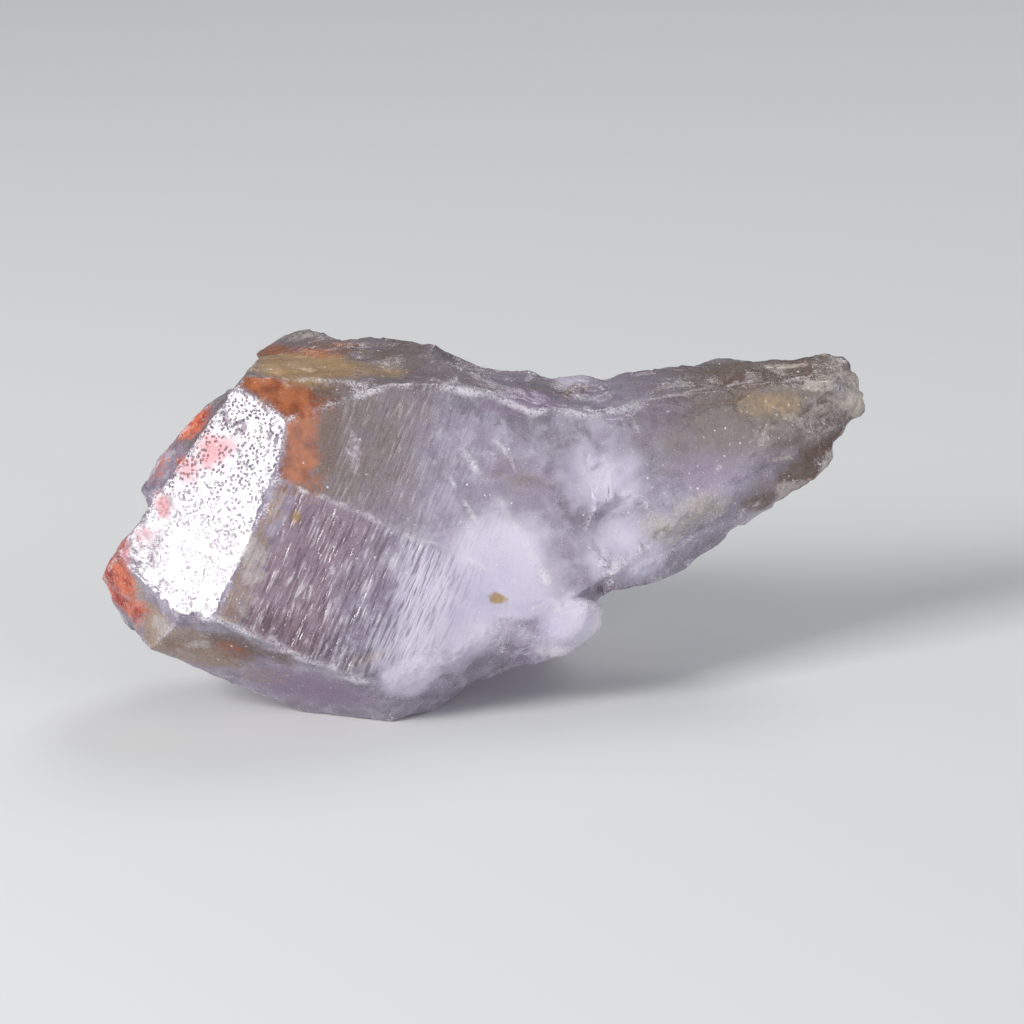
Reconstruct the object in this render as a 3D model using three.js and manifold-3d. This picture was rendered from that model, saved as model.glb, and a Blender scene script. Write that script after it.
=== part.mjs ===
// An amethyst crystal as picked up: a broken quartz point that tapers to a shard at its far end.
// It lies on a small break across its underside, tip to the left and tail in the air.
// Units are millimetres, +X runs from tip to tail, +Y is away from the front face, and +Z is up.
// The origin is on the floor under the middle of the crystal.
import * as THREE from "three";
import { ConvexGeometry } from "three/addons/geometries/ConvexGeometry.js";
import { ImprovedNoise } from "three/addons/math/ImprovedNoise.js";
import { mergeVertices } from "three/addons/utils/BufferGeometryUtils.js";
import Module from "manifold-3d";

// Driving dimensions
const AXIS_RISE = 26.3; // degrees that the long axis climbs towards the tip
const AXIS_SWING = 8.1; // degrees that the tip swings forwards
const AXIS_ROLL = 12.1; // degrees that the front face leans back about the long axis
const HEART = new THREE.Vector3(-8, 0, 9); // the point that the growth faces are measured from
const BLOCK = 120; // side of the raw block that the faces are cut from
const FINISHED_EDGE = 1.25; // longest triangle edge on the finished surface
const FLAT = 0.999; // two triangles lie in one face when their normals' product is over this
const BREAK_ROUGHNESS = 0.4; // how far broken surfaces swell and dip
const FACE_ROUGHNESS = 0.05; // the same on growth faces
const FLOOR_FADE = 1.2; // height over which the roughness fades out above the resting break

const wasm = await Module();
wasm.setup();

// A closed three.js geometry as a solid that can be joined and cut.
function solidOf(geometry) {
  const bare = new THREE.BufferGeometry();
  bare.setAttribute("position", geometry.getAttribute("position"));
  if (geometry.index) bare.setIndex(geometry.index);
  const merged = mergeVertices(bare, 1e-4);
  return new wasm.Manifold(
    new wasm.Mesh({
      numProp: 3,
      vertProperties: new Float32Array(merged.attributes.position.array),
      triVerts: new Uint32Array(merged.index.array),
    }),
  );
}

// A solid as an indexed three.js geometry.
function geometryOf(solid) {
  const mesh = solid.getMesh();
  return new THREE.BufferGeometry()
    .setAttribute("position", new THREE.BufferAttribute(mesh.vertProperties, 3))
    .setIndex(new THREE.BufferAttribute(mesh.triVerts, 1));
}

// The crystal's own directions: along is the long axis towards the tip, rise climbs the front face,
// and front points out of it.
const rad = THREE.MathUtils.degToRad;
const along = new THREE.Vector3(-1, 0, 0)
  .applyAxisAngle(new THREE.Vector3(0, 1, 0), rad(AXIS_RISE))
  .applyAxisAngle(new THREE.Vector3(0, 0, 1), rad(AXIS_SWING));
const rise = new THREE.Vector3(0, 0, 1)
  .projectOnPlane(along)
  .normalize()
  .applyAxisAngle(along, rad(AXIS_ROLL));
const front = new THREE.Vector3().crossVectors(rise, along);

// A growth face's outward normal. turn is degrees round the long axis from the front face, and slope is
// degrees from the long axis: 90 on the prism, and 51.8 on quartz's own end faces.
function faceNormal(turn, slope) {
  return new THREE.Vector3()
    .addScaledVector(front, Math.cos(rad(turn)) * Math.sin(rad(slope)))
    .addScaledVector(rise, Math.sin(rad(turn)) * Math.sin(rad(slope)))
    .addScaledVector(along, Math.cos(rad(slope)));
}

// Growth faces: turn, slope, distance from the heart
const PRISM = 90;
const END_FACE = 51.8;
const GROWTH_FACES = [
  [0, PRISM, 4.95], // striated lower half of the front
  [10.2, PRISM, 5.05], // upper half of the front, above the crease
  [120, PRISM, 10.0],
  [180, PRISM, 7.1],
  [240, PRISM, 8.4],
  [300, PRISM, 8.38], // undercut lower face
  [0, END_FACE, 7.62], // bright end face
  [300, END_FACE, 11.19], // end face below it
  [135.6, 17.4, 9.31], // break along the upper edge of the bright face
  [120, END_FACE, 9.6],
  [180, END_FACE, 9.2],
  [240, END_FACE, 12.5],
].map(([turn, slope, distance]) => {
  const normal = faceNormal(turn, slope);
  return [normal, HEART.clone().addScaledVector(normal, distance)];
});

// Breaks: outward direction, and a point on the break
const BREAKS = [
  [[0.029, -0.556, 0.831], [-13.28, -2.73, 17.11]], // shoulder above the bright face
  [[0.07, -0.09, 0.99], [-9.1, -2.8, 17.45]], // top, tip end
  [[0.3, -0.09, 0.93], [0.7, -0.1, 16.1]], // top, tail end
  [[0.5, -0.6, -0.62], [-4.9, -2.85, 0]], // smooth corner below the front face
  [[0.539, -0.221, -0.812], [-4, -2.1, 0]], // climbing away from the resting break
  [[0.875, 0, -0.48], [4.7, -2, 5.6]], // end under the tail
  [[0.75, 0.62, 0.2], [3.2, 6.0, 10.5]], // far end, at the back
  [[0, 0, -1], [0, 0, 0]], // resting break
].map(([direction, point]) => [
  new THREE.Vector3(...direction).normalize(),
  new THREE.Vector3(...point),
]);

// Corners of each shard that is fused to the point
const TAIL = [
  [1.7, 5.2, 15.7], [7.6, 7.2, 15.2], [10.2, 7.8, 15.5], [11.8, 8.2, 16.0], [15.9, 8.0, 16.3],
  [18.3, 7.4, 16.3], [2.3, 0.5, 15.1], [6.9, 2.1, 15.4], [9.8, 3.1, 15.6], [13.8, 4.4, 15.9],
  [17.0, 5.4, 15.4], [18.7, 6.2, 14.5], [18.8, 6.3, 13.7], [17.7, 5.6, 12.6], [17.4, 5.4, 11.9],
  [16.4, 5.0, 11.1], [15.4, 4.7, 10.0], [14.4, 4.4, 9.3], [13.5, 4.2, 9.0], [12.3, 3.9, 8.1],
  [9.8, 1.5, 11.9], [12.9, 2.8, 12.6], [15.6, 4.2, 13.3], [7.1, 0.5, 10.6], [5.0, -0.3, 12.5],
  [10.1, 7.4, 7.9], [14.8, 7.4, 10.2], [4.7, 5.0, 5.9], [4.8, -1.85, 8.1], [7.1, -0.8, 8.8],
  [6.6, -0.2, 10.8], [7.7, 0.6, 12.2], [7.4, 8.9, 11.0], [12.6, 8.8, 12.6],
  [2.4, 7.0, 13.6],
];
const LEDGE = [
  [-14.1, -1.9, 16.9], [-15.6, -1.0, 16.0], [-16.7, -1.2, 14.6], [-17.7, -1.3, 13.5],
  [-18.5, -1.5, 12.6], [-18.8, -2.0, 11.9], [-18.5, -3.0, 11.2], [-14.6, 2.5, 16.1],
  [-16.9, 3.0, 13.0], [-18.7, 2.2, 10.6], [-14.5, 4.5, 15.3], [-16.5, 5.2, 12.1],
  [-17.1, -1.0, 10.0],
];
const RIM = [
  [-13.3, 4.4, 17.4], [-12.6, 5.0, 17.9], [-11.7, 5.6, 18.2], [-10.6, 5.8, 18.3],
  [-9.5, 5.2, 18.1], [-8.7, 4.8, 17.8], [-13.0, 2.9, 17.3], [-8.8, 3.0, 17.7],
  [-11.0, 2.0, 17.9], [-12.2, 6.6, 16.4], [-9.0, 7.0, 16.6], [-10.6, 3.0, 15.5],
];
const BUMP = [
  [2.0, 4.6, 15.9], [2.5, 4.8, 16.4], [3.6, 5.0, 16.6], [4.6, 4.8, 16.5], [5.2, 4.4, 16.0],
  [2.4, 3.2, 15.8], [4.8, 3.0, 15.7], [3.5, 5.8, 15.6], [3.5, 4.4, 14.0],
];
const NUB = [
  [-0.6, -3.0, 2.6], [1.3, -2.8, 2.9], [2.0, -2.6, 2.9], [2.7, -2.4, 3.0], [3.6, -2.2, 3.6],
  [4.3, -2.2, 4.7], [4.5, -2.3, 5.7], [1.4, -3.6, 4.2], [2.9, -3.3, 4.6], [1.6, -3.5, 6.2],
  [3.9, -2.8, 6.1], [-0.4, -3.7, 4.2], [-0.1, 1.0, 2.0], [2.4, 1.5, 2.4], [4.0, 1.5, 4.3],
  [0.9, -1.0, 6.5],
];
const LOBE = [
  [4.6, -1.9, 6.1], [5.3, -1.9, 6.4], [6.9, -0.4, 6.9], [8.8, 0.9, 6.7], [9.8, 1.7, 7.0],
  [10.7, 2.4, 7.4], [11.9, 3.2, 8.0], [4.5, -2.0, 8.8], [7.1, -0.4, 9.5], [9.8, 1.3, 10.2],
  [11.4, 2.3, 9.6], [5.3, 2.5, 5.1], [8.9, 4.6, 6.0], [11.3, 5.4, 7.3], [4.1, 2.0, 10.1],
];
const SHARDS = [TAIL, LEDGE, RIM, BUMP, NUB, LOBE];

// Shell-shaped bites out of the breaks: centre, radii
const BITES = [
  [[0.3, -4.9, 3.9], [1.2, 1.5, 2.2]], // beside the nub
  [[17.5, 1.5, 8.6], [3.4, 3.6, 3.4]], // under the tail's end
  [[6.4, -5.6, 10.2], [4.2, 5.4, 3.6]], // front of the tail's root
  [[-0.6, 3.4, 19.9], [4.6, 3.4, 3.8]], // top, where it falls to the tail
  [[13.2, 13.2, 13], [5.2, 5.2, 4.6]], // back of the tail
  [[7.8, 12.2, 8], [4.6, 4.6, 4.2]], // back of the tail's root
  [[2.6, 4.6, -1.4], [4.6, 3.6, 3.8]], // under the far end
  [[-16.4, 9.6, 14.6], [4.2, 3.8, 3.8]], // back of the tip
  [[-8.4, 9.6, 1.2], [5.4, 4.6, 4.2]], // lower edge of the back
  [[-3.4, 11.4, 15.4], [4.8, 4.8, 3.4]], // upper edge of the back
];

function ellipsoid([centre, radii]) {
  const ball = new THREE.SphereGeometry(1, 18, 12);
  ball.scale(...radii);
  ball.translate(...centre);
  return solidOf(ball);
}

const hullOf = (corners) =>
  solidOf(new ConvexGeometry(corners.map((corner) => new THREE.Vector3(...corner))));

// The block cut down to the points behind every growth face and break.
function pointBody() {
  let solid = solidOf(new THREE.BoxGeometry(BLOCK, BLOCK, BLOCK));
  for (const [normal, point] of [...GROWTH_FACES, ...BREAKS])
    solid = solid.trimByPlane(normal.clone().negate().toArray(), -normal.dot(point));
  return solid;
}

// Swells and dips: three octaves of smooth noise, between about -1 and 1.
const noise = new ImprovedNoise();
function lumps(at, size) {
  let sum = 0;
  for (const [scale, share] of [[1, 0.6], [2.1, 0.35], [4.3, 0.15]])
    sum += share * noise.noise((at.x * scale) / size, (at.y * scale) / size, (at.z * scale) / size);
  return sum * 2;
}

// How rough the surface is at a point: 1 on breaks, and 0 on a growth face.
function breakShare(at) {
  let nearest = Infinity;
  for (const [normal, point] of GROWTH_FACES)
    nearest = Math.min(nearest, Math.abs(at.clone().sub(point).dot(normal)));
  return THREE.MathUtils.smoothstep(nearest, 0.03, 1.5);
}

// The two triangles that share each edge, as [corner, corner, triangle, triangle].
function sharedEdges(triangles) {
  const seen = new Map();
  const edges = [];
  triangles.forEach((triangle, index) => {
    for (let k = 0; k < 3; k++) {
      const [a, b] = [triangle[k], triangle[(k + 1) % 3]];
      const twin = seen.get(`${b},${a}`);
      if (twin === undefined) seen.set(`${a},${b}`, index);
      else edges.push([b, a, twin, index]);
    }
  });
  return edges;
}

const cornerAcross = (triangle, a, b) => triangle.find((corner) => corner !== a && corner !== b);

// Halves every edge that is too long, longest first, and never two in one triangle at a time.
function splitLongEdges(corners, triangles) {
  const length = ([a, b]) => corners[a].distanceTo(corners[b]);
  const long = sharedEdges(triangles).filter((edge) => length(edge) > FINISHED_EDGE);
  const used = new Set();
  for (const [a, b, left, right] of long.sort((one, other) => length(other) - length(one))) {
    if (used.has(left) || used.has(right)) continue;
    used.add(left).add(right);
    const middle = corners.push(corners[a].clone().lerp(corners[b], 0.5)) - 1;
    const [c, d] = [cornerAcross(triangles[left], a, b), cornerAcross(triangles[right], a, b)];
    triangles[left] = [a, middle, c];
    triangles[right] = [b, middle, d];
    triangles.push([middle, b, c], [middle, a, d]);
  }
  return long.length;
}

// Turns the shared edge of two triangles in one flat face where that makes them less thin.
function flipThinPairs(corners, triangles) {
  const flat = new THREE.Triangle();
  const normalOf = (a, b, c) =>
    flat.set(corners[a], corners[b], corners[c]).getNormal(new THREE.Vector3());
  const angleAt = (at, a, b) =>
    corners[a].clone().sub(corners[at]).angleTo(corners[b].clone().sub(corners[at]));
  const used = new Set();
  let flips = 0;
  for (const [a, b, left, right] of sharedEdges(triangles)) {
    if (used.has(left) || used.has(right)) continue;
    const [c, d] = [cornerAcross(triangles[left], a, b), cornerAcross(triangles[right], a, b)];
    if (angleAt(c, a, b) + angleAt(d, a, b) < Math.PI + 0.01) continue;
    const before = [normalOf(a, b, c), normalOf(b, a, d)];
    const after = [normalOf(a, d, c), normalOf(d, b, c)];
    const widest = after[0].lengthSq() > 0 ? after[0] : after[1];
    if (![...before, ...after].every((n) => n.lengthSq() === 0 || n.dot(widest) > FLAT)) continue;
    used.add(left).add(right);
    triangles[left] = [a, d, c];
    triangles[right] = [d, b, c];
    flips++;
  }
  return flips;
}

// The surface in even triangles, with the flat faces still flat and the edges still sharp.
function evenly(geometry) {
  const places = geometry.attributes.position;
  const corners = [];
  for (let i = 0; i < places.count; i++)
    corners.push(new THREE.Vector3().fromBufferAttribute(places, i));
  const triangles = [];
  for (let i = 0; i < geometry.index.count; i += 3)
    triangles.push([0, 1, 2].map((k) => geometry.index.getX(i + k)));
  let long = Infinity;
  while (long > 0) {
    for (let round = 0; round < 12; round++) if (flipThinPairs(corners, triangles) === 0) break;
    long = splitLongEdges(corners, triangles);
  }
  return new THREE.BufferGeometry().setFromPoints(corners).setIndex(triangles.flat());
}

// Moves each corner of the finished mesh in or out with the noise.
function weathered(solid) {
  const fine = evenly(mergeVertices(geometryOf(solid), 1e-3));
  fine.computeVertexNormals();
  const places = fine.attributes.position;
  const normals = fine.attributes.normal;
  const at = new THREE.Vector3();
  const out = new THREE.Vector3();
  for (let i = 0; i < places.count; i++) {
    at.fromBufferAttribute(places, i);
    out.fromBufferAttribute(normals, i);
    const roughness = THREE.MathUtils.lerp(FACE_ROUGHNESS, BREAK_ROUGHNESS, breakShare(at));
    const clear = THREE.MathUtils.smoothstep(at.z, 0, FLOOR_FADE);
    at.addScaledVector(out, roughness * clear * lumps(at, 3.2));
    places.setXYZ(i, at.x, at.y, at.z);
  }
  fine.deleteAttribute("normal");
  return solidOf(fine);
}

let solid = pointBody();
for (const corners of SHARDS) solid = solid.add(hullOf(corners));
for (const bite of BITES) solid = solid.subtract(ellipsoid(bite));

const crystal = new THREE.Mesh(
  geometryOf(weathered(solid)),
  new THREE.MeshStandardMaterial({ color: 0xa99cc4, roughness: 0.3, metalness: 0 }),
);
crystal.name = "amethyst_crystal";

// The finished crystal is moved so that the origin is on the floor under its middle.
crystal.geometry.computeBoundingBox();
const middle = crystal.geometry.boundingBox.getCenter(new THREE.Vector3());
crystal.geometry.translate(-middle.x, -middle.y, -crystal.geometry.boundingBox.min.z);

const root = new THREE.Group();
root.add(crystal);

export default root;
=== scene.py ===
"""A broken amethyst crystal, about 40 mm long, on a pale floor.

Shapes are worked out in mm in the part's frame and written to the meshes in metres."""
from math import cos, radians, sin
import bmesh
import bpy
import numpy as np
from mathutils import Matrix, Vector


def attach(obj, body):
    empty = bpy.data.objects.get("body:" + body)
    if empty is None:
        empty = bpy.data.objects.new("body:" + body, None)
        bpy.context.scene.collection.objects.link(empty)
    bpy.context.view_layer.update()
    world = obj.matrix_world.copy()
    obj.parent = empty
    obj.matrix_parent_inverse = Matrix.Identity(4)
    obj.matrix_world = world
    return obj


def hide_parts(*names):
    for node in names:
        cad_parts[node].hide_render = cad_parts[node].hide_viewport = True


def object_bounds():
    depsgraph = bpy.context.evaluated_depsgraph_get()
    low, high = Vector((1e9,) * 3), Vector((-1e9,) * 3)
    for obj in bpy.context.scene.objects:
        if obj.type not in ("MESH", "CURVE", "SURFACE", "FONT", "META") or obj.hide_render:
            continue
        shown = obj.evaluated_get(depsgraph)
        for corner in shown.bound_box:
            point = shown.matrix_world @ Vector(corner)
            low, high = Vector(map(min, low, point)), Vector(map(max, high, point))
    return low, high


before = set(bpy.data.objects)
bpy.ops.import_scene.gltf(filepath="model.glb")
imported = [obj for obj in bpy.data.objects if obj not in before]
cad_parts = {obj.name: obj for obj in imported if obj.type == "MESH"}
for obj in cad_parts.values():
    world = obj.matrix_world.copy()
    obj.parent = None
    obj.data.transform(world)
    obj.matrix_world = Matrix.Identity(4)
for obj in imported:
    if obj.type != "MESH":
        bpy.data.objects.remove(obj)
CAD_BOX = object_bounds()

# The crystal's own directions, as in the part's source, and the middle of its long axis in mm
AXIS_RISE = radians(26.3)
AXIS_SWING = radians(8.1)
AXIS_ROLL = radians(12.1)
HEART = np.array([-6.788, -1.232, 9.0])

# Slope of quartz's end faces from the long axis in degrees, and distances in mm from that middle:
# out to the bright end face, and up and down to the front face's edges
END_SLOPE = 51.8
BRIGHT_FACE = 7.62
UPPER_EDGE = 1.0
LOWER_EDGE = -6.8

# Turn round the long axis and slope from it of each grown face, in degrees
GROWN = [(0, 90), (10.2, 90), (120, 90), (180, 90), (240, 90), (300, 90),
         (0, END_SLOPE), (300, END_SLOPE), (120, END_SLOPE), (180, END_SLOPE), (240, END_SLOPE)]

# Mesh: edges past this angle are creased, then every face is split twice
SHARP = radians(24)
CREASE = 0.9
FINER_LEVELS = 2

# Relief heights in mm
LUMP = 0.16
CHIP = 0.09
FINE_CHIP = 0.04
BACK_CHIP = 0.3
GROOVE = 0.03
STEP = 0.045
BROAD_PIT = 0.08
PIT = 0.03
KNOB = 0.34
FINE_KNOB = 0.09
RIB = 0.2
THIN_END_KNOB = 0.18
RIPPLE = 0.014
EDGE_CHIP = 0.14
VEIL_RISE = 0.05

# How the thin end's ribs are drawn out, and where the ripples start from, in mm
RIB_STRETCH = np.diag([0.45, 1.0, 1.4])
RIPPLE_MIDDLE = (3.6, 0.0, 15.8)

# Quartz: index of refraction, and absorption's colour and density in 1/m
QUARTZ_INDEX = 1.545
ABSORBED = (0.72, 0.62, 0.76, 1)
ABSORPTION = 30
BUMP_DISTANCE = 0.00012

# Camera: from the front, 17 degrees above level, 200 mm away; lens in mm on a 36 mm frame
AIM = np.array([1.212, -1.232, 10.1])
ELEVATION = radians(17)
DISTANCE = 200.0
LENS = 136.05

# Half the floor's width in metres
FLOOR_HALF = 1.5


def turned(vector, axis, angle):
    """The vector turned by the angle about a unit axis: Rodrigues' formula."""
    axis = np.asarray(axis, float)
    vector = np.asarray(vector, float)
    return (vector * cos(angle) + np.cross(axis, vector) * sin(angle)
            + axis * (axis @ vector) * (1 - cos(angle)))


def own_directions():
    """Long axis, side that faces front and side that faces up, as unit vectors."""
    along = turned(turned([-1, 0, 0], [0, 1, 0], AXIS_RISE), [0, 0, 1], AXIS_SWING)
    rise = np.array([0, 0, 1]) - along * along[2]
    rise = turned(rise / np.linalg.norm(rise), along, AXIS_ROLL)
    return along, np.cross(rise, along), rise


ALONG, FRONT, RISE = own_directions()


def face_normal(turn, slope):
    """Outward normal of a crystal face at a turn round the long axis and a slope from it."""
    t, s = radians(turn), radians(slope)
    return cos(s) * ALONG + sin(s) * (cos(t) * FRONT + sin(t) * RISE)


# Seeded noise in space

def lattice(points, seed):
    """Whole-number hash of lattice points, from 0 to 1."""
    n = (points[..., 0] * 73856093) ^ (points[..., 1] * 19349663) ^ (points[..., 2] * 83492791)
    n = (n ^ (seed * 2654435761)) & 0xFFFFFFFF
    n = ((n ^ (n >> 15)) * 2246822519) & 0xFFFFFFFF
    n = ((n ^ (n >> 13)) * 3266489917) & 0xFFFFFFFF
    return ((n ^ (n >> 16)) & 0xFFFFFF) / float(0xFFFFFF)


def noise(places, size, seed):
    """Smooth value noise from -1 to 1: corner values of a lattice of this cell size, blended with
    the curve 3t^2 - 2t^3."""
    p = places / size
    low = np.floor(p).astype(np.int64)
    t = p - low
    t = t * t * (3 - 2 * t)
    total = 0
    for corner in range(8):
        step = np.array([corner & 1, corner >> 1 & 1, corner >> 2 & 1])
        weight = np.prod(np.where(step == 1, t, 1 - t), axis=-1)
        total = total + weight * lattice(low + step, seed)
    return 2 * total - 1


def layered(places, size, seed, layers=3):
    """Noise added to itself at half the size and half the height, layer by layer."""
    total = sum(noise(places, size / 2 ** k, seed + k) / 2 ** k for k in range(layers))
    return total / sum(0.5 ** k for k in range(layers))


def fade(low, high, value):
    """0 below low, 1 above high, and the curve 3t^2 - 2t^3 between."""
    t = np.clip((value - low) / (high - low), 0, 1)
    return t * t * (3 - 2 * t)


def facets(places, size, seed):
    """Chipped surface: the lattice cell whose random middle is nearest gives its own tilted plane."""
    p = places / size
    low = np.floor(p).astype(np.int64)
    best = np.full(len(p), np.inf)
    value = np.zeros(len(p))
    for corner in range(27):
        cell = low + np.array([corner % 3 - 1, corner // 3 % 3 - 1, corner // 9 - 1])
        middle = cell + np.stack([lattice(cell, seed + k) for k in range(3)], 1)
        tilt = np.stack([lattice(cell, seed + 3 + k) for k in range(3)], 1) * 2 - 1
        away = ((p - middle) ** 2).sum(1)
        nearer = away < best
        value = np.where(nearer, (tilt * (p - middle)).sum(1), value)
        best = np.where(nearer, away, best)
    return value


def knobs(places, size, seed):
    """Rounded knobs with creases between: 1 - distance^2 to the nearest random middle, in cells."""
    p = places / size
    low = np.floor(p).astype(np.int64)
    best = np.full(len(p), np.inf)
    for corner in range(27):
        cell = low + np.array([corner % 3 - 1, corner // 3 % 3 - 1, corner // 9 - 1])
        middle = cell + np.stack([lattice(cell, seed + k) for k in range(3)], 1)
        best = np.minimum(best, ((p - middle) ** 2).sum(1))
    return 1 - best


def seam(places, points, width):
    """Thin line through these points: 1 on it, 0 at the width in mm from it, with a slight waver."""
    waver = np.stack([noise(places, 1.1, 900 + k) for k in range(3)], 1) * 0.14
    nearest = np.full(len(places), np.inf)
    for start, end in zip(np.array(points[:-1]), np.array(points[1:])):
        way = end - start
        t = np.clip(((places - start) @ way) / (way @ way), 0, 1)
        nearest = np.minimum(nearest, np.linalg.norm(places + waver - start - t[:, None] * way, axis=1))
    return 1 - fade(0.3 * width, width, nearest)


# The crystal

def merged_copy(node):
    """The CAD node's mesh with its corners merged, as a bmesh."""
    work = bmesh.new()
    work.from_mesh(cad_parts[node].data)
    bmesh.ops.remove_doubles(work, verts=work.verts, dist=1e-6)
    return work


def refined(work, levels):
    """Sharp edges creased, then Catmull-Clark subdivision to this many levels."""
    crease = work.edges.layers.float.new("crease_edge")
    ridge = work.verts.layers.float.new("ridge")
    hollow = work.verts.layers.float.new("hollow")
    for edge in work.edges:
        if edge.calc_face_angle() > SHARP:
            edge[crease] = CREASE
        for corner in edge.verts:
            if edge.calc_face_angle_signed() > SHARP:
                corner[ridge] = 1
            if edge.calc_face_angle_signed() < -SHARP:
                corner[hollow] = 1
    mesh = bpy.data.meshes.new("amethyst")
    work.to_mesh(mesh)
    work.free()
    piece = bpy.data.objects.new("amethyst", mesh)
    bpy.context.collection.objects.link(piece)
    finer = piece.modifiers.new("finer", "SUBSURF")
    finer.levels = finer.render_levels = levels
    finer.boundary_smooth = "ALL"
    bpy.context.view_layer.update()
    done = bpy.data.meshes.new_from_object(piece.evaluated_get(bpy.context.evaluated_depsgraph_get()))
    piece.modifiers.clear()
    piece.data = done
    return piece


def melted(mesh, places, share, rounds):
    """Each vertex goes part of the way, its share, to the mean of its neighbours, round after round."""
    ends = np.zeros(len(mesh.edges) * 2, int)
    mesh.edges.foreach_get("vertices", ends)
    one, other = ends.reshape(-1, 2).T
    count = np.bincount(ends, minlength=len(places))
    for _ in range(rounds):
        total = np.stack([np.bincount(one, places[other, k], len(places))
                          + np.bincount(other, places[one, k], len(places)) for k in range(3)], 1)
        places = places + share[:, None] * (total / count[:, None] - places)
    return places


def places_and_normals(mesh):
    """Vertex places in mm and vertex normals, as arrays."""
    places = np.zeros(len(mesh.vertices) * 3)
    mesh.vertices.foreach_get("co", places)
    normals = np.zeros(len(mesh.vertices) * 3)
    mesh.vertex_normals.foreach_get("vector", normals)
    return places.reshape(-1, 3) * 1000, normals.reshape(-1, 3)


# Where the front shows each colour: middle in mm, reach in mm along each axis, strength
RED_PLACES = [
    ((-19.2, -3.8, 7.6), (1.6, 2.4, 1.6), 1.0),
    ((-18.3, -4.4, 6.3), (1.8, 2.6, 1.4), 0.8),
    ((-18.4, -3.4, 9.4), (1.0, 2.0, 1.4), 0.7),
    ((-18.5, -4.9, 8.2), (1.3, 1.8, 1.9), 0.85),
    ((-17.6, -5.4, 6.6), (1.3, 1.6, 1.0), 0.6),
    ((-13.9, -4.5, 14.3), (1.3, 1.6, 1.0), 0.85),
    ((-14.9, -4.4, 13.4), (1.2, 1.6, 0.9), 0.7),
    ((-16.4, -4.8, 11.6), (1.0, 1.6, 1.0), 0.85),
    ((-17.3, -5.2, 10.0), (1.1, 1.4, 1.2), 0.5),
    ((-14.8, -2.0, 14.8), (2.2, 2.2, 2.4), 0.9),
    ((-16.2, -2.4, 12.2), (1.8, 2.2, 2.4), 0.6),
    ((-17.6, -1.4, 10.2), (1.6, 3.0, 2.4), 0.7),
]
RUST_PLACES = [
    ((-13.0, -6.9, 4.2), (1.4, 1.4, 1.2), 0.6),
    ((-9.9, -4.3, 16.9), (2.2, 1.2, 0.6), 0.9),
    ((-11.4, 2.2, 17.5), (2.2, 2.4, 1.2), 0.6),
    ((-8.6, 2.6, 17.8), (2.6, 1.2, 0.9), 0.45),
    ((-9.6, 1.4, 17.9), (3.2, 1.0, 0.8), 0.75),
    ((-9.3, -6.0, 13.1), (2.0, 1.4, 1.3), 0.5),
]
GOLD_PLACES = [
    ((-9.4, -1.0, 17.7), (4.4, 3.4, 1.6), 1.0),
    ((-6.0, -0.8, 17.5), (3.4, 2.2, 1.2), 0.6),
    ((14.8, 2.6, 14.8), (3.2, 2.0, 1.4), 0.52),
    ((-9.8, -6.6, 11.6), (0.4, 0.8, 0.5), 1.0),
    ((0.35, -5.2, 6.6), (0.6, 1.0, 0.5), 0.85),
]
UMBER_PLACES = [
    ((-12.6, -7.0, 5.0), (2.4, 2.0, 2.6), 0.8),
    ((-9.0, -6.1, 13.2), (2.0, 1.2, 0.9), 0.8),
    ((-10.6, -7.4, 4.6), (2.2, 1.4, 1.4), 0.7),
    ((-8.0, -5.3, 14.4), (0.8, 1.2, 1.8), 0.8),
    ((13.4, 4.2, 16.0), (2.4, 1.8, 0.7), 1.0),
    ((17.4, 4.3, 11.6), (3.4, 3.2, 1.7), 0.9),
    ((14.4, 1.8, 9.7), (1.6, 2.2, 0.9), 0.9),
    ((-11.4, 1.9, 17.5), (2.4, 1.6, 1.0), 1.0),
    ((-8.4, 2.2, 17.8), (2.6, 1.2, 0.8), 0.8),
    ((-5.0, 1.8, 17.7), (2.0, 1.2, 0.6), 0.7),
    ((5.0, 1.4, 15.6), (4.0, 1.0, 0.4), 0.7),
    ((-15.4, -6.0, 4.6), (2.2, 1.6, 0.8), 0.5),
    ((15.9, 3.0, 10.6), (1.9, 2.2, 0.9), 0.8),
    ((14.8, 2.6, 15.2), (2.6, 1.6, 0.9), 0.45),
]
SMOKE_PLACES = [
    ((2.3, -2.7, 12.0), (1.6, 1.2, 0.6), 0.75),
    ((0.8, -3.0, 13.0), (1.4, 1.2, 0.5), 0.75),
    ((-5.2, -4.3, 15.2), (1.6, 1.8, 2.2), 0.9),
    ((-8.1, -5.3, 14.6), (1.0, 1.2, 2.0), 0.9),
    ((-4.6, 1.8, 17.4), (3.8, 3.6, 1.6), 0.9),
    ((2.0, 0.4, 16.2), (5.6, 3.0, 1.2), 0.6),
    ((13.4, 4.4, 16.0), (2.6, 2.2, 1.1), 1.0),
    ((17.2, 4.5, 11.4), (3.8, 3.6, 2.4), 1.0),
    ((11.6, 2.2, 14.6), (4.6, 3.4, 1.8), 0.75),
    ((1.8, -3.2, 12.2), (2.0, 1.6, 1.4), 0.5),
    ((14.6, 1.6, 9.8), (2.6, 2.6, 1.6), 0.6),
]
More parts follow.
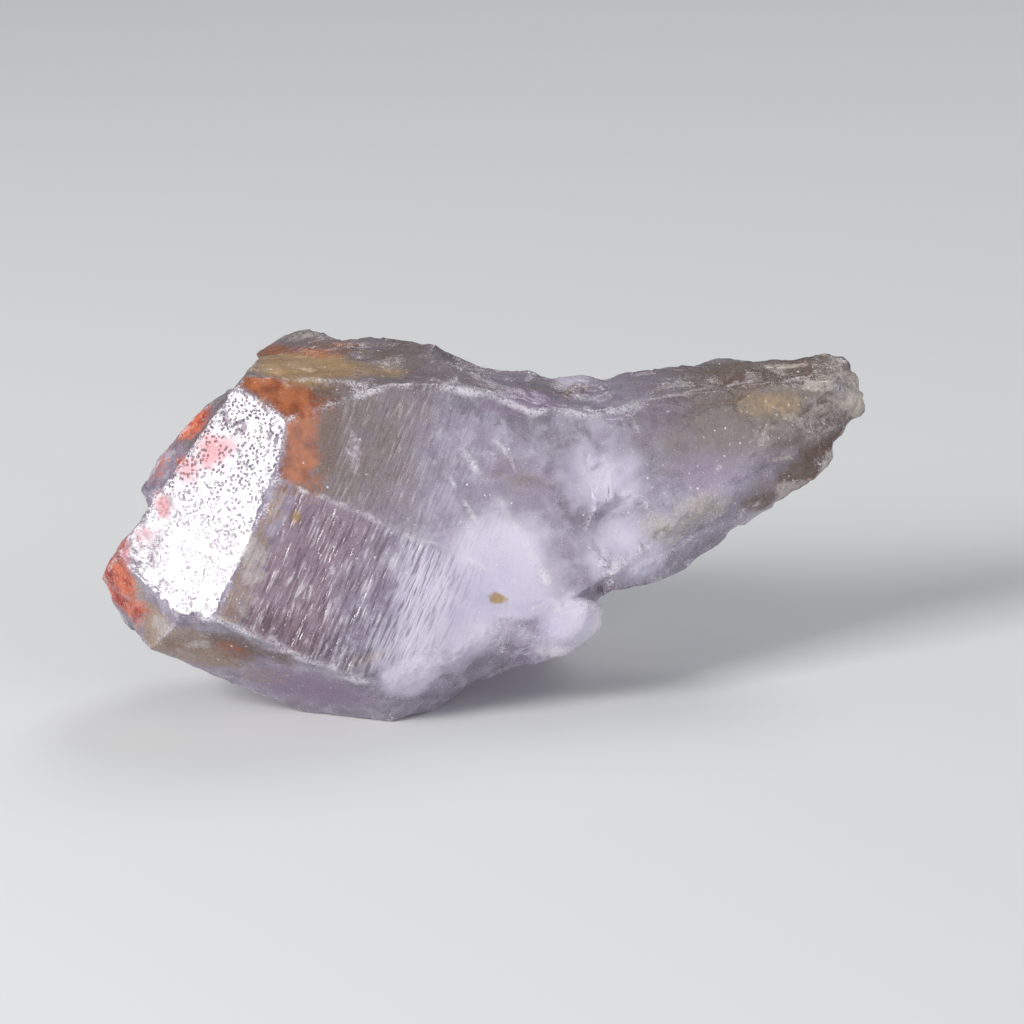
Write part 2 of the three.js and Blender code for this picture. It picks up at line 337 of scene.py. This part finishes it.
MILK_PLACES = [
    ((0.5, -4.8, 8.0), (5.4, 3.0, 4.4), 0.9),
    ((-1.5, -6.0, 5.0), (3.6, 2.6, 3.2), 0.8),
    ((4.2, -4.4, 4.8), (3.4, 2.4, 2.8), 1.0),
    ((-3.6, -6.6, 2.8), (2.6, 2.2, 2.0), 1.0),
    ((-1.0, -5.6, 6.6), (3.2, 2.0, 2.4), 0.9),
    ((7.4, -2.4, 8.4), (4.8, 2.6, 2.8), 0.8),
    ((5.4, -1.4, 12.0), (3.8, 2.4, 2.8), 0.7),
    ((4.5, 3.4, 16.2), (1.8, 2.4, 1.2), 0.7),
]
PALE_PLACES = [
    # The first two are a painted highlight on the front-lit rim of the rounded end beside the notch
    ((5.7, -4.0, 4.6), (0.9, 2.6, 1.7), 0.9),
    ((4.0, -4.2, 3.3), (1.6, 2.2, 0.8), 0.8),
    ((-3.4, -6.6, 3.2), (2.0, 1.8, 2.8), 0.55),
    ((-6.8, -4.8, 14.6), (0.45, 1.4, 2.0), 0.45),
]
CREAM_PLACES = [
    ((9.4, -1.2, 9.2), (3.0, 2.2, 1.5), 0.8),
    ((11.4, -0.4, 10.0), (2.8, 2.2, 1.5), 0.8),
    ((-9.0, 3.9, 18.0), (3.0, 1.6, 0.9), 0.7),
    ((19.2, 5.0, 14.6), (1.8, 3.4, 2.6), 0.7),
    ((17.0, 3.6, 13.7), (2.6, 2.2, 1.2), 0.55),
    ((15.4, 2.4, 14.3), (2.0, 1.4, 0.45), 0.7),
    ((-6.2, -7.0, 3.9), (2.0, 1.2, 0.8), 0.6),
    ((-12.0, -7.4, 10.3), (0.8, 1.0, 1.1), 0.9),
    ((-12.1, -7.7, 8.6), (0.8, 1.0, 1.0), 0.9),
    ((-12.3, -8.0, 7.0), (0.7, 1.0, 0.8), 0.7),
    ((-16.4, -6.2, 5.6), (1.2, 1.2, 0.7), 0.8),
    ((-14.4, -6.2, 4.7), (1.0, 1.2, 0.5), 0.7),
    ((-15.2, -6.2, 3.9), (0.8, 1.2, 0.5), 0.7),
    ((-13.2, -6.8, 3.4), (0.7, 1.2, 0.4), 0.7),
]
TAN_PLACES = [
    ((-14.6, -6.2, 3.7), (3.6, 2.6, 1.6), 0.9),
    ((-15.8, -6.0, 4.9), (4.2, 2.8, 2.3), 1.0),
    ((-17.4, -5.8, 6.0), (1.6, 2.0, 1.3), 0.8),
    ((-18.0, -4.9, 7.4), (1.6, 2.2, 1.8), 0.7),
    ((-11.6, -5.6, 2.6), (3.0, 2.0, 1.1), 0.45),
]
VIOLET_PLACES = [
    ((2.6, -2.6, 11.8), (1.6, 1.2, 0.8), 0.45),
    ((0.8, -3.0, 13.0), (1.4, 1.2, 0.7), 0.45),
    ((-9.0, -5.6, 2.2), (4.6, 2.6, 1.8), 0.8),
    ((1.0, -1.0, 16.0), (6.4, 1.4, 0.8), 0.9),
    ((10.6, 0.4, 12.0), (3.6, 2.0, 1.6), 0.5),
]


# Bright veiling that shows as lines on the front, painted highlight lines along the upper ridge and round
# the rim of the rounded end beside the notch, and painted glints as seams of no length: points in mm,
# width in mm
VEILS_AND_HIGHLIGHTS = [
    ([(-1.3, -3.2, 13.9), (0.6, -3.5, 11.4), (2.9, -4.3, 7.4)], 0.38),
    ([(-2.6, -3.6, 14.6), (-1.9, -3.9, 12.6), (-0.6, -4.3, 10.4)], 0.18),
    ([(0.4, -2.4, 14.4), (1.8, -3.0, 12.2), (2.6, -3.6, 10.0)], 0.16),
    ([(4.8, -1.2, 14.2), (6.2, -1.4, 12.6), (6.4, -1.9, 11.0)], 0.2),
    ([(-3.6, -3.6, 15.4), (-2.2, -3.2, 14.6)], 0.16),
    # A painted highlight line along the upper ridge
    ([(-7.2, -4.0, 16.9), (-5.9, -3.5, 17.1), (-4.5, -2.7, 17.3), (-2.7, -2.4, 17.3), (-0.9, -2.0, 16.8),
      (2.1, -1.4, 15.6), (5.2, -0.6, 15.1), (7.8, 0.6, 15.2), (11.0, 2.5, 15.6), (13.4, 3.2, 15.9)], 0.3),
    # A painted highlight round the rim of the rounded end beside the notch
    ([(5.5, -3.7, 5.5), (5.3, -3.6, 4.6), (4.0, -3.7, 3.4), (3.0, -4.2, 3.4)], 0.5),
    # The painted ridge highlight line, on to the thin end
    ([(13.4, 3.2, 15.9), (15.0, 3.2, 15.2), (17.0, 3.6, 14.6)], 0.3),
    # Painted glints: seams of no length
    ([(-2.8, -4.0, 13.0), (-2.8, -4.0, 13.1)], 0.16),
    ([(0.2, -2.8, 13.7), (0.2, -2.8, 13.8)], 0.18),
    ([(0.4, -4.1, 10.1), (0.4, -4.1, 10.2)], 0.16),
    ([(2.5, -2.1, 13.5), (2.5, -2.1, 13.6)], 0.16),
    ([(11.9, 0.5, 11.9), (11.9, 0.5, 12.0)], 0.2),
]


# Lumpy patches of the end faces
LUMPY_PLACES = [
    ((-15.8, -6.0, 4.9), (3.4, 2.4, 1.9), 0.9),
    ((-11.9, -7.6, 8.4), (0.8, 1.0, 3.4), 0.6),
    ((-13.0, -6.9, 4.2), (2.0, 1.8, 1.7), 0.5),
    ((10.3, -0.8, 9.5), (2.8, 2.0, 1.4), 0.5),
    ((-9.0, 3.9, 18.0), (3.0, 1.6, 0.9), 0.5),
]

# Joins on the front that the real crystal shows rounded
MELTED_PLACES = [
    ((1.9, -4.4, 5.4), (2.3, 2.0, 2.0), 1.0),
    ((0.2, -4.8, 4.4), (2.8, 2.2, 2.2), 1.0),
    ((4.9, 3.4, 16.4), (2.2, 2.2, 1.2), 0.3),
    ((7.8, -2.0, 9.0), (2.4, 2.0, 1.6), 1.0),
    ((-3.7, -6.0, 2.2), (3.2, 2.4, 2.6), 1.0),
]

# The notch and the rounded end beside it, which keep their shape
KEPT_PLACES = [
    ((5.8, -3.4, 6.4), (2.0, 2.6, 1.6), 1.0),
    ((4.8, -3.9, 4.3), (2.0, 2.2, 2.2), 1.0),
]


# Where the end beside the notch is fuller than the solid, by its strength in mm
FULLER_PLACES = [
    ((5.0, -3.9, 4.3), (1.8, 2.4, 2.2), 0.4),
]


def zone(places, spots, wobble, seed):
    """The strongest of the soft spots at each vertex. A spot has its full strength within a quarter of
    its reach and none past 1.15 of it, and noise moves its edge by the wobble."""
    drift = np.stack([layered(places, 1.6, seed + k) for k in range(3)], 1)
    value = np.zeros(len(places))
    for middle, reach, strength in spots:
        away = np.linalg.norm((places + wobble * 1.6 * drift - middle) / reach, axis=1)
        value = np.maximum(value, strength * (1 - fade(0.25, 1.15, away)))
    return value


def veil_and_highlight_lines(places):
    """The strongest of the veiling and painted highlight lines at each vertex, broken here and there."""
    lines = np.maximum.reduce([seam(places, points, width) for points, width in VEILS_AND_HIGHLIGHTS])
    return lines * fade(-0.5, 0.4, layered(places, 0.7, 84))


def only(share, places, shape):
    """The shape's height times the share, worked out only where the share is above 0."""
    value = np.zeros(len(places))
    there = share > 0
    value[there] = share[there] * shape(places[there])
    return value


def crystal_frame(places):
    """Places along the long axis, along the front face's edge direction, and out of that face, in mm."""
    own = places - HEART
    return own @ ALONG, own @ RISE, own @ FRONT


def behind_bright_face(places):
    """Depth in mm behind the bright end face."""
    return BRIGHT_FACE - (places - HEART) @ face_normal(0, END_SLOPE)


def growth_share(normals):
    """1 where a vertex looks the way a grown face does, 0 on the breaks."""
    share = np.zeros(len(normals))
    for turn, slope in GROWN:
        share = np.maximum(share, fade(0.985, 0.998, normals @ face_normal(turn, slope)))
    return share


def marks(places, normals, ridge):
    """Strength of each colour and finish at each vertex, from 0 to 1, painted glints, highlights and pit
    shade among them.
    """
    along, edge, out = crystal_frame(places)
    depth = behind_bright_face(places)
    drift = layered(places, 1.1, 5)
    front = normals @ FRONT
    bright = fade(0.985, 0.998, normals @ face_normal(0, END_SLOPE))
    lower = 1 - fade(UPPER_EDGE - 0.3, UPPER_EDGE + 0.3, edge + 0.3 * drift)
    on_front = fade(0.96, 0.995, front) * lower
    on_upper = fade(0.3, 0.7, front) * (1 - lower)
    high = places[:, 2] + 0.5 * drift
    top = fade(0.35, 0.7, normals[:, 2]) * fade(13.5, 14.5, places[:, 2])
    back = fade(3.5, 7.0, places[:, 1])
    wide = layered(places, 5.5, 71)
    above = on_upper * fade(12.3, 13.5, high)
    band = above * fade(-0.1, 0.25, depth) * (1 - fade(0.8, 1.5, depth + 0.4 * drift))
    dark_edge = 0.75 * above * fade(0.7, 1.2, depth + 0.3 * drift) * (1 - fade(1.6, 2.2, depth))
    rust = np.maximum(band, zone(places, RUST_PLACES, 0.4, 100))
    rust = np.maximum(rust, 0.7 * back * fade(0.25, 0.6, wide))
    smoke = np.maximum.reduce([
        zone(places, SMOKE_PLACES, 0.4, 200),
        0.5 * back * fade(0.0, 0.5, -wide),
        0.85 * on_upper * fade(0.9, 1.5, depth) * (1 - fade(2.6, 6.5, depth + drift))
        * fade(7.0, 13.5, high),
        0.7 * top * (1 - fade(-3.0, 5.0, places[:, 0] + 2 * drift)),
        0.85 * fade(4, 12, places[:, 0] + drift) * fade(10.5, 13.5, high)])
    milk = np.maximum.reduce([
        zone(places, MILK_PLACES, 0.5, 300),
        0.85 * on_front * (1 - fade(-4.0, 0.5, along + drift)),
        0.5 * fade(0.1, 0.6, layered(places, 4.0, 72)) * back])
    tan_edge = 0.62 * on_front * fade(4.3, 5.1, along + 1.1 * drift)
    plum = on_front * fade(-2.0, 2.5, along + drift) * (1 - 0.7 * fade(4.4, 5.0, along))
    lines = on_front * fade(-7.2, -2.0, along) * (1 - 0.6 * fade(4.3, 5.0, along))
    lines = np.maximum(lines, 0.5 * on_upper * fade(1.2, 2.4, depth) * (1 - fade(4.0, 9.0, depth + drift)))
    # Painted highlight: whitish flecks along ridges stand in for glints, fewer at the back and on high
    # tops
    ridge_glint = fade(0.55, 1.0, ridge) * fade(-0.25, 0.35, layered(places, 0.7, 81)) * (
        1 - 0.6 * np.maximum(back, fade(0.0, 1.0, places[:, 1]) * top))
    thin_end = fade(11.0, 16.0, places[:, 0])
    fibre = thin_end * fade(0.05, 0.5, noise(places @ RIB_STRETCH, 0.8, 61))
    # Where the finer painted glint specks also go
    glint_area = np.maximum.reduce([
        fade(5.0, 9.0, places[:, 0]),
        fade(0.2, 0.8, ridge),
        on_front * fade(-4.0, 0.0, along)])
    unsteady = 0.16 * noise(places, 0.9, 82)
    upper_line = 1 - fade(0.04, 0.17, np.abs(edge - UPPER_EDGE + unsteady))
    lower_line = 1 - fade(0.08, 0.4, np.abs(edge - LOWER_EDGE + 2 * unsteady))
    crease_line = np.maximum(upper_line * fade(-0.2, 0.3, layered(places, 0.35, 83)),
                             lower_line * fade(-0.4, 0.2, layered(places, 0.5, 85)))
    crease_line = crease_line * fade(4.2, 4.5, out) * fade(-8.2, -7.2, along)
    veil_and_highlight = np.maximum(crease_line * 0.9, veil_and_highlight_lines(places))
    return {
        "umber": np.maximum(zone(places, UMBER_PLACES, 0.5, 900), dark_edge),
        "red": zone(places, RED_PLACES, 0.5, 400),
        "rust": rust,
        "gold": zone(places, GOLD_PLACES, 0.3, 500),
        "smoke": smoke,
        "milk": milk,
        "cream": zone(places, CREAM_PLACES, 0.7, 600),
        "pale": zone(places, PALE_PLACES, 0.3, 650),
        "tan": np.maximum(zone(places, TAN_PLACES, 0.5, 700), tan_edge),
        "plum": plum,
        "violet": zone(places, VIOLET_PLACES, 0.4, 800),
        "bright": bright,
        "pitted": bright * (0.22 + 0.78 * fade(-3.5, 1.5, edge + 1.2 * drift)),
        "fibre": fibre,
        "glint_area": glint_area,
        "lines": lines,
        "ridge_glint": ridge_glint,
        "veil_and_highlight": veil_and_highlight,
        "broken": 1 - growth_share(normals),
    }


def relief(places, normals, ridge):
    """Height in mm to add along the normal: lumps and chips on breaks, growth steps on the front face,
    pits on the bright end face, knobs at the tip, ripples, ribs at the thin end, chipped ridges, raised
    veiling and highlight lines and the fuller end beside the notch."""
    along, edge, out = crystal_frame(places)
    front = normals @ FRONT
    bright = fade(0.985, 0.998, normals @ face_normal(0, END_SLOPE))
    broken = 1 - growth_share(normals)
    height = broken * LUMP * layered(places, 2.2, 21)
    height = height + only(CHIP * broken, places, lambda p: facets(p, 1.5, 24))
    height = height + only(FINE_CHIP * broken, places, lambda p: facets(p, 0.6, 34))
    behind = broken * fade(0.3, 0.8, normals[:, 1])
    height = height + only(BACK_CHIP * behind, places, lambda p: facets(p, 3.6, 37))
    waver = along + 0.12 * noise(places, 3.0, 31)
    grooves = noise(np.stack([waver, edge * 0.12, 0 * edge], 1), 0.36, 33)
    steps = noise(np.stack([waver, edge * 0.08, 0 * edge], 1), 1.3, 34)
    terraces = GROOVE * grooves + STEP * np.sign(steps) * np.sqrt(np.abs(steps))
    on_front = fade(0.96, 0.995, front) * (1 - fade(UPPER_EDGE - 0.3, UPPER_EDGE + 0.3, edge))
    height = height + on_front * fade(-8.0, -3.0, along) * terraces
    height = height - BROAD_PIT * bright * fade(0.25, 0.7, layered(places, 0.9, 41)) * fade(1.0, 3.0, edge)
    height = height - PIT * bright * fade(0.35, 0.7, layered(places, 0.6, 44))
    tip = np.maximum(1 - fade(-18.4, -16.6, places[:, 0]), zone(places, LUMPY_PLACES, 0.2, 50))
    height = height + only(KNOB * tip, places, lambda p: knobs(p, 1.4, 51) - 0.6)
    height = height + only(FINE_KNOB * tip, places, lambda p: knobs(p, 0.6, 57) - 0.6)
    thin_end = fade(11.5, 16.0, places[:, 0])
    ribs = places @ RIB_STRETCH
    height = height + thin_end * broken * RIB * noise(ribs, 0.8, 61)
    height = height + only(THIN_END_KNOB * thin_end * broken, ribs, lambda p: knobs(p, 1.3, 64) - 0.7)
    away = np.linalg.norm(places - np.array(RIPPLE_MIDDLE), axis=1)
    rippled = fade(2.0, 3.0, away) * (1 - fade(5.5, 7.5, away)) * fade(0.5, 0.8, front)
    height = height + RIPPLE * rippled * np.sin(away * 8.5 + 2.5 * noise(places, 2.0, 66))
    chips = fade(0.6, 1.0, ridge) * fade(0.1, 0.8, layered(places, 0.9, 68))
    return height - EDGE_CHIP * chips + VEIL_RISE * veil_and_highlight_lines(places) + zone(places, FULLER_PLACES, 0.0, 0)


def amethyst():
    """The whole crystal: the CAD solid's surface made finer, each vertex moved along its normal by
    the relief and kept inside the CAD box, with the marks as attributes."""
    piece = refined(merged_copy("amethyst_crystal"), FINER_LEVELS)
    mesh = piece.data
    places, normals = places_and_normals(mesh)
    ridge, hollow = np.zeros(len(places)), np.zeros(len(places))
    mesh.attributes["ridge"].data.foreach_get("value", ridge)
    mesh.attributes["hollow"].data.foreach_get("value", hollow)
    free = (1 - zone(places, KEPT_PLACES, 0.0, 0)) * fade(0.2, 1.0, places[:, 2])
    places = melted(mesh, places, 0.5 * free * fade(0.2, 0.8, hollow), 70)
    places = melted(mesh, places, 0.9 * free * zone(places, MELTED_PLACES, 0.0, 0), 260)
    mesh.vertices.foreach_set("co", (places / 1000).ravel())
    mesh.update()
    places, normals = places_and_normals(mesh)
    strengths = marks(places, normals, ridge)
    places = places + normals * relief(places, normals, ridge)[:, None]
    low, high = (np.array(corner) * 1000 for corner in CAD_BOX)
    places = np.clip(places, low, high)
    mesh.vertices.foreach_set("co", (places / 1000).ravel())
    for name, value in strengths.items():
        mesh.attributes.new(name, "FLOAT", "POINT").data.foreach_set("value", value.astype(np.float32))
    mesh.update()
    mesh.polygons.foreach_set("use_smooth", np.ones(len(mesh.polygons), bool))
    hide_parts("amethyst_crystal")
    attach(piece, "root")
    return piece


# The material

class Recipe:
    """Adds nodes to one material and joins them."""

    def __init__(self, name):
        self.material = bpy.data.materials.new(name)
        self.material.use_nodes = True
        self.nodes = self.material.node_tree.nodes
        self.links = self.material.node_tree.links
        self.shader = self.nodes["Principled BSDF"]
        place = self.nodes.new("ShaderNodeTexCoord").outputs["Object"]
        self.place = self.vector("SCALE", place, scale=1000)

    def put(self, socket, value):
        """A number or colour set on a socket, or another socket linked to it."""
        if isinstance(value, bpy.types.NodeSocket):
            self.links.new(value, socket)
        else:
            socket.default_value = value

    def math(self, operation, first, second=0.0):
        """One step of arithmetic."""
        node = self.nodes.new("ShaderNodeMath")
        node.operation = operation
        self.put(node.inputs[0], first)
        self.put(node.inputs[1], second)
        return node.outputs[0]

    def vector(self, operation, first, second=None, scale=None):
        """One step of arithmetic on vectors."""
        node = self.nodes.new("ShaderNodeVectorMath")
        node.operation = operation
        self.put(node.inputs[0], first)
        if second is not None:
            self.put(node.inputs[1], second)
        if scale is not None:
            self.put(node.inputs["Scale"], scale)
        return node.outputs["Value" if operation == "DOT_PRODUCT" else "Vector"]

    def mark(self, name):
        """A mark's strength on the surface."""
        node = self.nodes.new("ShaderNodeAttribute")
        node.attribute_name = name
        return node.outputs["Fac"]

    def grain(self, per_mm, detail=2.0, place=None, roughness=0.5):
        """Noise with this many cells in a millimetre."""
        node = self.nodes.new("ShaderNodeTexNoise")
        self.put(node.inputs["Vector"], place or self.place)
        node.inputs["Scale"].default_value = per_mm
        node.inputs["Detail"].default_value = detail
        node.inputs["Roughness"].default_value = roughness
        return node.outputs["Fac"]

    def cells(self, per_mm, output="Distance"):
        """Voronoi cells, this many in a millimetre."""
        node = self.nodes.new("ShaderNodeTexVoronoi")
        self.put(node.inputs["Vector"], self.place)
        node.inputs["Scale"].default_value = per_mm
        return node.outputs[output]

    def remap(self, value, low, high, to_low=0.0, to_high=1.0):
        """Smooth step from low to high, to another range."""
        node = self.nodes.new("ShaderNodeMapRange")
        node.interpolation_type = "SMOOTHSTEP"
        for socket, number in zip(("Value", "From Min", "From Max", "To Min", "To Max"),
                                  (value, low, high, to_low, to_high)):
            self.put(node.inputs[socket], number)
        return node.outputs["Result"]

    def patchy(self, name, grain, ragged=0.7, low=0.25, high=0.6):
        """A mark whose edge and strength are broken up by the grain."""
        shift = self.math("MULTIPLY", self.math("SUBTRACT", grain, 0.5), ragged)
        return self.remap(self.math("ADD", self.mark(name), shift), low, high)

    def blend(self, factor, first, second):
        """The first colour going over to the second."""
        node = self.nodes.new("ShaderNodeMix")
        node.data_type = "RGBA"
        self.put(node.inputs[0], factor)
        self.put(node.inputs[6], first)
        self.put(node.inputs[7], second)
        return node.outputs[2]

    def level(self, factor, first, second):
        """The first number going over to the second."""
        node = self.nodes.new("ShaderNodeMix")
        self.put(node.inputs[0], factor)
        self.put(node.inputs[2], first)
        self.put(node.inputs[3], second)
        return node.outputs[0]


def shade(red, green, blue):
    """A colour given as 0 to 255 display values, as the shader's light values."""
    value = np.array([red, green, blue]) / 255
    light = np.where(value < 0.04045, value / 12.92, ((value + 0.055) / 1.055) ** 2.4)
    return (*light.tolist(), 1.0)


def quartz():
    """Violet quartz with smoky, milky, rusty and red parts, painted glints and highlights, and painted
    shade
    in pits: a base colour and a share of plain transmission that go from mark to mark, one index, one
    absorption, and low bump."""
    r = Recipe("violet_quartz")
    fine = r.grain(4.0, 3.0, roughness=0.6)
    coarse = r.grain(0.9, 4.0, roughness=0.62)
    speck = r.grain(9.0, 1.0, roughness=0.7)
    cloud = r.grain(0.35, 2.0, roughness=0.5)
    lavender = r.blend(r.remap(coarse, 0.3, 0.7), shade(174, 160, 180), shade(208, 200, 218))
    ruby = r.blend(r.remap(coarse, 0.4, 0.6), shade(168, 44, 34), shade(236, 112, 66))
    ruby = r.blend(r.remap(speck, 0.5, 0.75), ruby, shade(244, 176, 150))
    ruby = r.blend(r.mark("bright"), ruby, r.blend(fine, shade(186, 70, 84), shade(240, 176, 186)))
    rust = r.blend(r.remap(coarse, 0.35, 0.65), shade(150, 76, 40), shade(210, 118, 62))
    zones = [
        ("plum", coarse, 0.7, 0.1, 0.9, r.blend(fine, shade(150, 120, 130), shade(194, 172, 186)), 0.62),
        ("smoke", coarse, 1.1, 0.05, 0.95, r.blend(fine, shade(106, 90, 80), shade(172, 156, 144)), 0.7),
        ("milk", cloud, 0.7, 0.1, 0.9, r.blend(cloud, shade(202, 194, 226), shade(246, 242, 253)), 0.32),
        ("violet", coarse, 0.7, 0.1, 0.8, r.blend(fine, shade(146, 116, 152), shade(192, 168, 198)), 0.6),
        ("tan", fine, 1.3, 0.2, 0.8, r.blend(speck, shade(132, 100, 82), shade(212, 186, 162)), 0.45),
        ("umber", fine, 1.0, 0.15, 0.9, r.blend(speck, shade(78, 58, 48), shade(146, 116, 100)), 0.5),
        ("pale", fine, 0.8, 0.15, 0.9, r.blend(fine, shade(224, 214, 240), shade(252, 246, 252)), 0.25),
        ("cream", fine, 1.4, 0.15, 0.9, r.blend(speck, shade(160, 146, 136), shade(226, 218, 214)), 0.4),
        ("gold", fine, 0.7, 0.15, 0.75, r.blend(coarse, shade(126, 94, 58), shade(224, 186, 128)), 0.4),
        ("rust", fine, 1.1, 0.1, 1.0, rust, 0.5),
        ("red", fine, 1.1, 0.2, 0.8, ruby, 0.4),
        ("fibre", fine, 1.4, 0.4, 1.1, shade(214, 202, 190), 0.5),
    ]
    colour, clear = lavender, r.level(r.remap(coarse, 0.35, 0.7), 0.76, 0.55)
    for name, grain, ragged, low, high, tint, through in zones:
        share = r.patchy(name, grain, ragged, low, high)
        colour = r.blend(share, colour, tint)
        clear = r.level(share, clear, through)

    # Painted shade: darkened dots in the pits, strong on the bright end face where its glare breaks, faint
    # elsewhere
    pit_shade = r.math("MULTIPLY", pit_dots(r), r.level(r.mark("pitted"), 0.04, 0.9))
    colour = r.blend(pit_shade, colour, shade(84, 72, 80))
    # Painted highlights: whitish flecks on ridges, plus the painted highlight lines and glints that ride
    # with the bright veiling
    white_and_glint = r.math("MAXIMUM", r.math("MULTIPLY", r.mark("ridge_glint"), r.remap(speck, 0.4, 0.6)),
                   r.math("MULTIPLY", r.mark("veil_and_highlight"), r.remap(speck, 0.3, 0.5)))
    # Painted glints: whitish specks from cell middles where the grain allows, finer ones in the glint area
    dots = r.math("MULTIPLY", r.remap(r.cells(1.9), 0.15, 0.09), r.remap(fine, 0.5, 0.6))
    small_glints = r.math("MULTIPLY", r.remap(r.cells(3.2), 0.17, 0.1), r.remap(coarse, 0.48, 0.6))
    dots = r.math("MAXIMUM", dots, r.math("MULTIPLY", small_glints, r.mark("glint_area")))
    white_and_glint = r.math("MAXIMUM", r.math("MULTIPLY", white_and_glint, 0.95), dots)
    drawn = fine_lines(r)
    dim = r.math("MULTIPLY", r.math("MULTIPLY", r.remap(drawn, 0.48, 0.38), r.mark("lines")), 0.6)
    colour = r.blend(dim, colour, shade(96, 72, 84))
    line = r.math("MULTIPLY", r.remap(drawn, 0.52, 0.64), r.remap(coarse, 0.35, 0.6))
    white_and_glint = r.math("MAXIMUM", white_and_glint, r.math("MULTIPLY", r.math("MULTIPLY", line, r.mark("lines")), 0.7))
    colour = r.blend(white_and_glint, colour, shade(240, 236, 242))
    clear = r.level(white_and_glint, clear, 0.3)
    r.put(r.shader.inputs["Base Color"], colour)
    r.put(r.shader.inputs["Transmission Weight"], clear)

    gloss = r.level(r.mark("broken"), 0.1, 0.17)
    gloss = r.level(r.mark("bright"), gloss, r.remap(fine, 0.3, 0.7, 0.08, 0.22))
    gloss = r.level(r.remap(speck, 0.55, 0.8), gloss, 0.34)
    gloss = r.level(r.mark("red"), gloss, 0.45)
    r.put(r.shader.inputs["Roughness"], gloss)
    r.shader.inputs["IOR"].default_value = QUARTZ_INDEX

    inside = r.nodes.new("ShaderNodeVolumeAbsorption")
    inside.inputs["Color"].default_value = ABSORBED
    inside.inputs["Density"].default_value = ABSORPTION
    r.links.new(inside.outputs["Volume"], r.nodes["Material Output"].inputs["Volume"])
    r.put(r.shader.inputs["Normal"], surface_normal(r))
    return r.material


def fine_lines(r):
    """Noise drawn out along the front face's edge direction: thin lines across the long axis."""
    across = r.nodes.new("ShaderNodeCombineXYZ")
    r.put(across.inputs[0], r.vector("DOT_PRODUCT", r.place, tuple(ALONG)))
    edge = r.vector("DOT_PRODUCT", r.place, tuple(RISE))
    r.put(across.inputs[1], r.math("MULTIPLY", edge, 0.1))
    return r.grain(5.6, 2.0, across.outputs[0], 0.65)


def pit_dots(r):
    """Small dots in patches: the middles of fine cells, where a coarser noise allows them."""
    return r.math("MULTIPLY", r.remap(r.cells(5.6), 0.46, 0.24), r.remap(r.grain(1.3, 2.0), 0.38, 0.52))


def surface_normal(r):
    """Bump from fine lines across the long axis, grain on the breaks and the bright face's pits."""
    height = r.math("MULTIPLY", r.math("MULTIPLY", fine_lines(r), r.mark("lines")), 1.6)
    rough = r.math("MULTIPLY", r.grain(4.0, 3.0, roughness=0.62), r.level(r.mark("broken"), 0.2, 0.65))
    rough = r.math("MULTIPLY", rough, r.level(r.mark("bright"), 1.0, 0.35))
    pits = r.math("MULTIPLY", pit_dots(r), r.mark("pitted"))
    height = r.math("SUBTRACT", r.math("ADD", height, rough), r.math("MULTIPLY", pits, 0.45))
    bump = r.nodes.new("ShaderNodeBump")
    bump.inputs["Strength"].default_value = 0.7
    bump.inputs["Distance"].default_value = BUMP_DISTANCE
    r.put(bump.inputs["Height"], height)
    return bump.outputs["Normal"]


# Floor, light and camera

def floor():
    """A level pale sheet under the crystal."""
    half = FLOOR_HALF
    mesh = bpy.data.meshes.new("floor")
    corners = [(-half, -half, 0), (half, -half, 0), (half, half, 0), (-half, half, 0)]
    mesh.from_pydata(corners, [], [(0, 1, 2, 3)])
    piece = bpy.data.objects.new("floor", mesh)
    bpy.context.collection.objects.link(piece)
    material = bpy.data.materials.new("pale_floor")
    material.use_nodes = True
    tree = material.node_tree
    tree.nodes.remove(tree.nodes["Principled BSDF"])
    matt = tree.nodes.new("ShaderNodeBsdfDiffuse")
    matt.inputs["Color"].default_value = (0.7, 0.71, 0.72, 1)
    tree.links.new(matt.outputs["BSDF"], tree.nodes["Material Output"].inputs["Surface"])
    mesh.materials.append(material)


def lamp(name, direction, distance, size, power, colour=(1, 1, 1)):
    """A square soft light that far out from the crystal, turned to it."""
    light = bpy.data.lights.new(name, "AREA")
    light.size = size
    light.energy = power
    light.color = colour
    holder = bpy.data.objects.new(name, light)
    toward = Vector(direction).normalized()
    holder.location = Vector(AIM / 1000) + toward * distance
    holder.rotation_euler = toward.to_track_quat("Z", "Y").to_euler()
    bpy.context.collection.objects.link(holder)


def studio():
    """Key from the left front, a weak fill, a back light and an even pale surround."""
    lamp("key", (-0.676, -0.553, 0.49), 0.42, 0.16, 1.8, (1, 0.98, 0.95))
    lamp("fill", (0.8, -0.7, 0.35), 0.5, 0.4, 0.75, (0.94, 0.97, 1))
    lamp("back", (0.3, 0.55, 0.85), 0.45, 0.2, 0.45, (1, 0.99, 0.97))
    world = bpy.data.worlds.new("surround")
    world.use_nodes = True
    world.node_tree.nodes["Background"].inputs["Color"].default_value = (0.8, 0.84, 0.9, 1)
    world.node_tree.nodes["Background"].inputs["Strength"].default_value = 0.32
    bpy.context.scene.world = world


def camera():
    """The view from straight in front, 17 degrees above level."""
    lens = bpy.data.cameras.new("camera")
    lens.lens = LENS
    lens.sensor_width = 36
    lens.clip_start = 0.01
    holder = bpy.data.objects.new("camera", lens)
    back = np.array([0, -cos(ELEVATION), sin(ELEVATION)])
    holder.location = Vector((AIM + back * DISTANCE) / 1000)
    holder.rotation_euler = (radians(90) - ELEVATION, 0, 0)
    bpy.context.collection.objects.link(holder)
    bpy.context.scene.camera = holder


crystal = amethyst()
crystal.data.materials.clear()
crystal.data.materials.append(quartz())
floor()
studio()
camera()
bpy.context.scene.view_settings.view_transform = "Standard"

bpy.context.view_layer.update()
